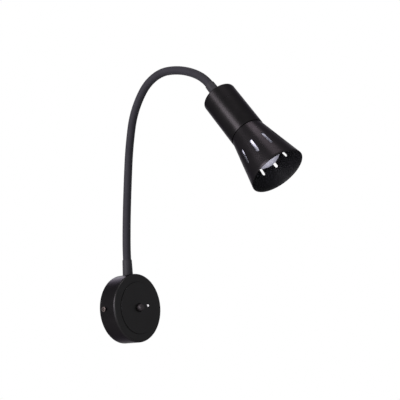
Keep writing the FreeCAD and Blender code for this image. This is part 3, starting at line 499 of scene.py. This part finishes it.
def drill(piece, radius, length, matrix):
    """Cut a round hole out of a piece, along the z axis of a frame."""
    build = bmesh.new()
    bmesh.ops.create_cone(build, cap_ends=True, segments=DRILL_SEGMENTS, radius1=radius * MM,
                          radius2=radius * MM, depth=length * MM, matrix=matrix)
    mesh = bpy.data.meshes.new("drill")
    build.to_mesh(mesh)
    build.free()
    tool = bpy.data.objects.new("drill", mesh)
    bpy.context.scene.collection.objects.link(tool)
    modifier = piece.modifiers.new("hole", "BOOLEAN")
    modifier.operation = "DIFFERENCE"
    modifier.solver = "EXACT"
    modifier.object = tool
    graph = bpy.context.evaluated_depsgraph_get()
    cut = bpy.data.meshes.new_from_object(piece.evaluated_get(graph))
    piece.modifiers.clear()
    old = piece.data
    piece.data = cut
    bpy.data.meshes.remove(old)
    bpy.data.objects.remove(tool)


# ---------------------------------------------------------------- arm

SLEEVE_SEGMENTS = 56
SLEEVE_STEP = 1.6
SLEEVE_SINK = COLLAR_SOCKET - 1
SLEEVE_RUN_IN = (1.5, 4.0)


def sleeve_line(number):
    """Centre line of the sleeve round a joint, from mid-link to mid-link: (point, heading).

    The first and the last sleeve also run straight on into their collars."""
    before = STRETCHES[number - 1]
    after = STRETCHES[number]
    line = []
    first = before.length / 2
    last = after.length / 2
    if number == 1:
        first = 0.0
        way = heading_vector(before.heading)
        for gap in (SLEEVE_SINK, *reversed(SLEEVE_RUN_IN)):
            line.append((before.start - way * gap, before.heading))
    if number == LAST_JOINT:
        last = after.length
    line += before.samples(first, before.length, SLEEVE_STEP, with_last=False)
    line += after.samples(0.0, last, SLEEVE_STEP, with_last=True)
    if number == LAST_JOINT:
        way = heading_vector(after.end_heading)
        for gap in (*SLEEVE_RUN_IN, SLEEVE_SINK):
            line.append((after.end + way * gap, after.end_heading))
    return line


def make_sleeve(number):
    """The rubber sleeve over one joint of the arm, drawn along the bend between the two links it
    joins.
    """
    build = bmesh.new()
    rings = []
    across = Vector((1, 0, 0))
    for point, heading in sleeve_line(number):
        upward = heading_vector(heading + 90)
        ring = []
        for step in range(SLEEVE_SEGMENTS):
            angle = 2 * math.pi * step / SLEEVE_SEGMENTS
            offset = (across * math.cos(angle) + upward * math.sin(angle)) * ARM_RADIUS
            ring.append(build.verts.new((point + offset) * MM))
        rings.append(ring)
    bridge_all(build, rings)
    nodes = ["arm_sleeve_%d" % number if number < LAST_JOINT else "arm_sleeve_head"]
    if number == 1:
        nodes.append("arm_sleeve_base")
    piece = new_piece("sleeve_over_joint_%d" % number, build, [SLEEVE], None, nodes)
    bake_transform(piece)


for joint_number in range(1, LAST_JOINT + 1):
    make_sleeve(joint_number)

# ---------------------------------------------------------------- canopy

LIT_FACE_TILT = 0.3


def make_canopy():
    """The drum's shell; the face and the front of its rounded edge get the lighter copy of its
    lacquer, painted light that makes the front lighter than the sides.
    """
    bore = CANOPY_RADIUS - CANOPY_WALL
    floor = CANOPY_DEPTH - CANOPY_WALL
    canopy = turned("canopy_shell", ON_WALL, [
        (bore, 0, SMALL),
        (CANOPY_RADIUS, 0, SOFT),
        (CANOPY_RADIUS, CANOPY_DEPTH, CANOPY_EDGE),
        (DISC_RADIUS + DISC_GAP, CANOPY_DEPTH, THIN),
        (DISC_RADIUS + DISC_GAP, DISC_BACK, CRISP),
        (BUTTON_HOLE, DISC_BACK, CRISP),
        (BUTTON_HOLE, floor, CRISP),
        (bore, floor, CANOPY_EDGE - CANOPY_WALL),
    ], SATIN, "base", "canopy_cover")
    canopy.data.materials.append(LIT_FACE)
    # Faces turned to the front take the lighter copy: painted light, which also brightens the
    # highlight on the rounded edge.
    for polygon in canopy.data.polygons:
        in_front = polygon.center.y < (CANOPY_EDGE - CANOPY_DEPTH) * MM
        if in_front and polygon.normal.y < -LIT_FACE_TILT:
            polygon.material_index = 1
    drill(canopy, ARM_HOLE_RADIUS, ARM_HOLE_LENGTH, AT_ARM_HOLE)
    drill(canopy, SCREW_HOLE_RADIUS, SCREW_HOLE_LENGTH, AT_SIDE_SCREWS)


def make_disc():
    disc = turned("raised_disc", ON_WALL, [
        (BUTTON_HOLE, DISC_BACK, FINE),
        (DISC_RADIUS, DISC_BACK, FINE),
        (DISC_RADIUS, DISC_FRONT, DISC_EDGE),
        (BUTTON_HOLE, DISC_FRONT, NARROW),
    ], LIT_FACE, "base", "front_disc")
    drill(disc, PILOT_HOLE_RADIUS, PILOT_HOLE_LENGTH, AT_PILOT)


make_canopy()
make_disc()

# ---------------------------------------------------------------- button

BUTTON_STEPS = 24


def button_dome():
    """The button from the disc to its top: a full dome, upright at its foot."""
    height = BUTTON_TOP - DISC_BACK
    power = 2 / BUTTON_FULLNESS
    points = []
    for step in range(BUTTON_STEPS):
        angle = math.pi / 2 * step / BUTTON_STEPS
        points.append((BUTTON_RADIUS * math.cos(angle) ** power,
                       DISC_BACK + height * math.sin(angle) ** power))
    return points + [(0, BUTTON_TOP)]


turned("button_cap", ON_WALL, [
    (0, BUTTON_FOOT),
    (BUTTON_FLANGE_RADIUS, BUTTON_FOOT, SMALL),
    (BUTTON_FLANGE_RADIUS, BUTTON_SHOULDER, SMALL),
    (BUTTON_RADIUS, BUTTON_SHOULDER, FINE),
    *button_dome(),
], BUTTON, "button", "push_button", closed=False, segments=COARSE_SEGMENTS)

# ---------------------------------------------------------------- collar and cup

turned("upper_collar_skin", IN_HEAD, [
    (SHANK_BORE, SHANK_END),
    (SHANK_RADIUS, SHANK_END, SOFT),
    (SHANK_RADIUS, CUP_BACK),
    (COLLAR_FOOT, CUP_BACK, SMALL),
    (COLLAR_MOUTH, HEAD_LENGTH, COLLAR_LIP),
    (COLLAR_BORE, HEAD_LENGTH, FINE),
    (COLLAR_BORE, HEAD_LENGTH - COLLAR_SOCKET),
    (SHANK_BORE, HEAD_LENGTH - COLLAR_SOCKET),
], COLLAR, "head", "upper_collar", segments=COARSE_SEGMENTS)

turned("cup_skin", IN_HEAD, [
    (CUP_BORE, SHADE_LENGTH, THIN),
    (CUP_RADIUS, SHADE_LENGTH, SOFT),
    (CUP_RADIUS, CAP_FRONT, SEAM),
    (CUP_BORE, CAP_FRONT, CRISP),
], SATIN, "head", "lamp_cup")

turned("cap_skin", IN_HEAD, [
    (CAP_LIP_BORE, CAP_FRONT - CAP_LIP, FINE),
    (CAP_LIP_RADIUS, CAP_FRONT - CAP_LIP, FINE),
    (CAP_LIP_RADIUS, CAP_FRONT),
    (CUP_RADIUS, CAP_FRONT, SEAM),
    (CUP_RADIUS, CUP_BACK, CAP_EDGE),
    (ARM_HOLE_RADIUS, CUP_BACK, FINE),
    (ARM_HOLE_RADIUS, CUP_BACK - CAP_FLOOR, FINE),
    (CAP_LIP_BORE, CUP_BACK - CAP_FLOOR, SOFT),
], SATIN, "head", "cup_cap")

# ---------------------------------------------------------------- shade

SLOT_ARC_STEPS = 14
SLOT_SIDE_STEPS = 8
SLOT_RINGS = 5
RING_GROWTH = 1.3
PLAIN_STEPS = 4
LIP_STEPS = 6
BAND_MARGIN = 6.0
BAND_LOW = SLOT_START - BAND_MARGIN
BAND_HIGH = SLOT_START + SLOT_LENGTH + BAND_MARGIN
BAND_MIDDLE = (BAND_LOW + BAND_HIGH) / 2
BAND_HALF = (BAND_HIGH - BAND_LOW) / 2
SECTOR = 2 * math.pi / SLOT_COUNT
CONE_SLOPE = math.atan2(SHADE_RADIUS - SHADE_SMALL, SHADE_LENGTH)
SHARP_ANGLE = math.radians(40)


def shade_radius(height):
    """Outer radius of the shade's cone at a height from its rim."""
    return SHADE_RADIUS + (SHADE_SMALL - SHADE_RADIUS) * height / SHADE_LENGTH


def in_head(angle, radius, height):
    """A point of the head: angle in radians from +y, radius and height in millimetres."""
    place = Vector((-radius * math.sin(angle), radius * math.cos(angle), height))
    return IN_HEAD @ (place * MM)


def on_cone(angle, height, inset):
    """A point of the shade's cone, inset square to the sheet."""
    radius = shade_radius(height) - inset * math.cos(CONE_SLOPE)
    return in_head(angle, radius, height - inset * math.sin(CONE_SLOPE))


def slot_outline():
    """Points round one slot as (across, height), from its right side counterclockwise."""
    half = SLOT_WIDTH / 2
    low = SLOT_START + half
    high = SLOT_START + SLOT_LENGTH - half
    points = []
    for side, centre, other in ((0, high, low), (1, low, high)):
        for step in range(SLOT_ARC_STEPS + 1):
            angle = math.pi * (side + step / SLOT_ARC_STEPS)
            points.append(Vector((half * math.cos(angle), centre + half * math.sin(angle))))
        across = half if side else -half
        for step in range(1, SLOT_SIDE_STEPS):
            points.append(Vector((across, centre + (other - centre) * step / SLOT_SIDE_STEPS)))
    return points


def sector_outline(points):
    """The sector's edge point that each slot point leads out to, as (angle, height)."""
    result = []
    for point in points:
        across = point.x / (SLOT_WIDTH / 2)
        upward = (point.y - BAND_MIDDLE) / (SLOT_LENGTH / 2)
        scale = 1 / max(abs(across), abs(upward))
        result.append(Vector((across * scale * SECTOR / 2,
                              BAND_MIDDLE + upward * scale * BAND_HALF)))
    return result


def slot_sector(build, inner, outer, turn, inset, index):
    """One sector of the slotted band; returns the loop of vertices round its slot."""
    loops = []
    for ring in range(SLOT_RINGS + 1):
        share = (ring / SLOT_RINGS) ** RING_GROWTH
        loop = []
        for near, far in zip(inner, outer):
            angle = near.x / shade_radius(near.y)
            angle += (far.x - angle) * share
            height = near.y + (far.y - near.y) * share
            loop.append(build.verts.new(on_cone(turn + angle, height, inset)))
        loops.append(loop)
    bridge_all(build, loops, index)
    return loops[0]


def evenly(low, high, steps):
    return [low + (high - low) * step / steps for step in range(steps + 1)]


def plain_band(build, turns, heights, inset, index):
    """Rings of plain faces of the cone between heights, at the given angles."""
    rings = [[build.verts.new(on_cone(turn, height, inset)) for turn in turns]
             for height in heights]
    bridge_all(build, rings, index)


def close_rim(build, turns):
    """A rounded lip between the outside and the inside at the shade's mouth."""
    half = SHADE_WALL / 2
    rings = []
    for step in range(LIP_STEPS + 1):
        angle = math.pi * step / LIP_STEPS
        inset = half - half * math.cos(angle)
        height = SHADE_LIP - SHADE_LIP * math.sin(angle)
        rings.append([build.verts.new(on_cone(turn, height, inset)) for turn in turns])
    bridge_all(build, rings)
    bmesh.ops.remove_doubles(build, verts=build.verts, dist=SAME_EDGE)


def close_neck(build, turns):
    """The neck inside the cup and the floor that the lampholder's ring clamps."""
    inner = SHADE_NECK - SHADE_WALL
    floor = SHADE_NECK_END - SHADE_FLOOR
    profile = [
        (SHADE_SMALL, SHADE_LENGTH), (SHADE_NECK, SHADE_NECK_START),
        (SHADE_NECK, SHADE_NECK_END), (SHADE_HOLE, SHADE_NECK_END), (SHADE_HOLE, floor),
        (inner, floor), (inner, SHADE_LENGTH),
    ]
    rings = [[build.verts.new(in_head(turn, radius, height)) for turn in turns]
             for radius, height in profile]
    bridge_all(build, rings, 1)


def sharpen(piece):
    """Mark the crisp edges of a mesh as sharp."""
    build = bmesh.new()
    build.from_mesh(piece.data)
    for edge in build.edges:
        if len(edge.link_faces) == 2 and edge.calc_face_angle() > SHARP_ANGLE:
            edge.smooth = False
    build.to_mesh(piece.data)
    build.free()


def make_shade():
    """The slotted cone as one closed sheet: its outside is material 0, its inside 1."""
    build = bmesh.new()
    inner = slot_outline()
    outer = sector_outline(inner)
    starts = [math.radians(SLOT_PHASE) + SECTOR * number for number in range(SLOT_COUNT)]
    edges = sorted({round(point.x, 9) for point in outer if abs(point.y - BAND_LOW) < 1e-6})
    turns = [start + edge for start in starts for edge in edges[:-1]]
    skins = []
    for inset, index in ((0.0, 0), (SHADE_WALL, 1)):
        skins.append([slot_sector(build, inner, outer, start, inset, index) for start in starts])
        plain_band(build, turns, evenly(SHADE_LIP, BAND_LOW, PLAIN_STEPS), inset, index)
        plain_band(build, turns, evenly(BAND_HIGH, SHADE_LENGTH, PLAIN_STEPS), inset, index)
    for outside, inside in zip(*skins):
        bridge(build, outside, inside, 1)
    bmesh.ops.remove_doubles(build, verts=build.verts, dist=SAME_EDGE)
    close_rim(build, turns)
    close_neck(build, turns)
    sharpen(new_piece("shade_cone", build, [SHADE_OUT, SHADE_IN], "head", ["shade"]))


make_shade()

# ---------------------------------------------------------------- bulb

GLOBE_STEPS = 36
GLOBE_SEGMENTS = 96


def globe_arc():
    """The globe's profile from its front to where its neck starts."""
    centre = GLOBE_INSET + GLOBE_RADIUS
    last_angle = math.pi - math.asin(GLOBE_NECK / GLOBE_RADIUS)
    angles = [last_angle * step / GLOBE_STEPS for step in range(GLOBE_STEPS + 1)]
    return [(GLOBE_RADIUS * math.sin(angle), centre - GLOBE_RADIUS * math.cos(angle))
            for angle in angles]


turned("opal_bulb", IN_HEAD, [
    *globe_arc(),
    (LAMP_NECK, LAMP_NECK_HEIGHT, LAMP_NECK_EDGE),
    (LAMP_CAP, LAMP_CAP_HEIGHT),
    (0, LAMP_CAP_HEIGHT),
], OPAL, "head", "bulb_globe", closed=False, segments=GLOBE_SEGMENTS)

# ---------------------------------------------------------------- floor, world, lights, camera

FLOOR_LEVEL = -0.30
FLOOR_HALF = 0.75
AMBIENT = 0.45

MIDDLE = (0, -0.1, 0.12)
HEAD_MIDDLE = (0, -0.2, 0.18)
CANOPY_MIDDLE = (0, -0.02, 0)

# Name, place, target, direction of the width, width, height, power and colour.
LIGHTS = (
    ("left_box", (-1.0, 0.12, 0.36), MIDDLE, (0, 1, 0), 0.5, 0.7, 19.0, (1.0, 0.94, 0.98)),
    ("front_box", (-1.0, -0.62, -0.05), MIDDLE, (0, 1, 0), 0.3, 0.3, 3.2, (0.97, 0.95, 1.0)),
    ("low_box", (-1.0, 0.15, -0.22), CANOPY_MIDDLE, (0, 1, 0), 0.4, 0.4, 2.5, (0.95, 0.92, 1.0)),
    ("top_box", (-0.13, -0.24, 1.1), HEAD_MIDDLE, (0.94, -0.33, 0), 0.42, 0.12, 3.0,
     (1.0, 0.90, 0.95)),
    ("back_box", (0.45, 0.85, 0.72), MIDDLE, (1, 0, 0), 0.5, 0.3, 2.2, (0.97, 0.95, 1.0)),
)

CAMERA_PLACE = (-0.651235, -0.61538, -0.041879)
CAMERA_YAW = math.radians(-53.1733)
CAMERA_PITCH = math.radians(10.8471)
CAMERA_ROLL = math.radians(-4.1524)
CAMERA_LENS = 65.08
CAMERA_SENSOR = 36


def make_floor():
    mesh = bpy.data.meshes.new("floor")
    sides = ((-1, -1), (1, -1), (1, 1), (-1, 1))
    mesh.from_pydata([(x * FLOOR_HALF, y * FLOOR_HALF, FLOOR_LEVEL) for x, y in sides],
                     [], [(0, 1, 2, 3)])
    mesh.materials.append(surface(
        "floor_pale", ((0.82, 0.82, 0.82), (0.86, 0.86, 0.86)),
        rough=(0.7, 0.8), grain=200, peel=(0.02, 0.0002), specular=0.1))
    floor = bpy.data.objects.new("floor", mesh)
    bpy.context.scene.collection.objects.link(floor)


def make_world():
    """White for the camera and in reflections, and a softer light on the object."""
    world = bpy.data.worlds.new("studio")
    bpy.context.scene.world = world
    world.use_nodes = True
    tree = world.node_tree
    background = tree.nodes["Background"]
    background.inputs["Color"].default_value = (1, 1, 1, 1)
    path = tree.nodes.new("ShaderNodeLightPath")
    seen = path.outputs["Is Camera Ray"]
    for ray in ("Is Glossy Ray", "Is Transmission Ray"):
        larger = tree.nodes.new("ShaderNodeMath")
        larger.operation = "MAXIMUM"
        tree.links.new(seen, larger.inputs[0])
        tree.links.new(path.outputs[ray], larger.inputs[1])
        seen = larger.outputs[0]
    level = tree.nodes.new("ShaderNodeMapRange")
    level.inputs["To Min"].default_value = AMBIENT
    level.inputs["To Max"].default_value = 1.0
    tree.links.new(seen, level.inputs["Value"])
    tree.links.new(level.outputs["Result"], background.inputs["Strength"])


def area_light(name, place, target, along, width, height, power, color):
    """A soft box at a place, facing a target, with its width along a direction."""
    light = bpy.data.lights.new(name, "AREA")
    light.shape = "RECTANGLE"
    light.size = width
    light.size_y = height
    light.energy = power
    light.color = color
    back = (Vector(place) - Vector(target)).normalized()
    across = (Vector(along) - back * back.dot(Vector(along))).normalized()
    turn = Matrix((across, back.cross(across), back)).transposed()
    lamp = bpy.data.objects.new(name, light)
    lamp.matrix_world = Matrix.Translation(place) @ turn.to_4x4()
    bpy.context.scene.collection.objects.link(lamp)


def make_camera():
    """The photograph's camera, fitted to the canopy, the arm and the head."""
    level = math.cos(CAMERA_PITCH)
    forward = Vector((-math.sin(CAMERA_YAW) * level, math.cos(CAMERA_YAW) * level,
                      math.sin(CAMERA_PITCH)))
    right = Vector((math.cos(CAMERA_YAW), math.sin(CAMERA_YAW), 0))
    upward = right.cross(forward)
    across = right * math.cos(CAMERA_ROLL) + upward * math.sin(CAMERA_ROLL)
    along = upward * math.cos(CAMERA_ROLL) - right * math.sin(CAMERA_ROLL)
    data = bpy.data.cameras.new("camera")
    data.sensor_width = CAMERA_SENSOR
    data.lens = CAMERA_LENS
    camera = bpy.data.objects.new("camera", data)
    turn = Matrix((across, along, -forward)).transposed()
    camera.matrix_world = Matrix.Translation(CAMERA_PLACE) @ turn.to_4x4()
    bpy.context.scene.collection.objects.link(camera)
    bpy.context.scene.camera = camera


make_floor()
make_world()
for settings in LIGHTS:
    area_light(*settings)
make_camera()
bpy.context.scene.view_settings.view_transform = "Standard"
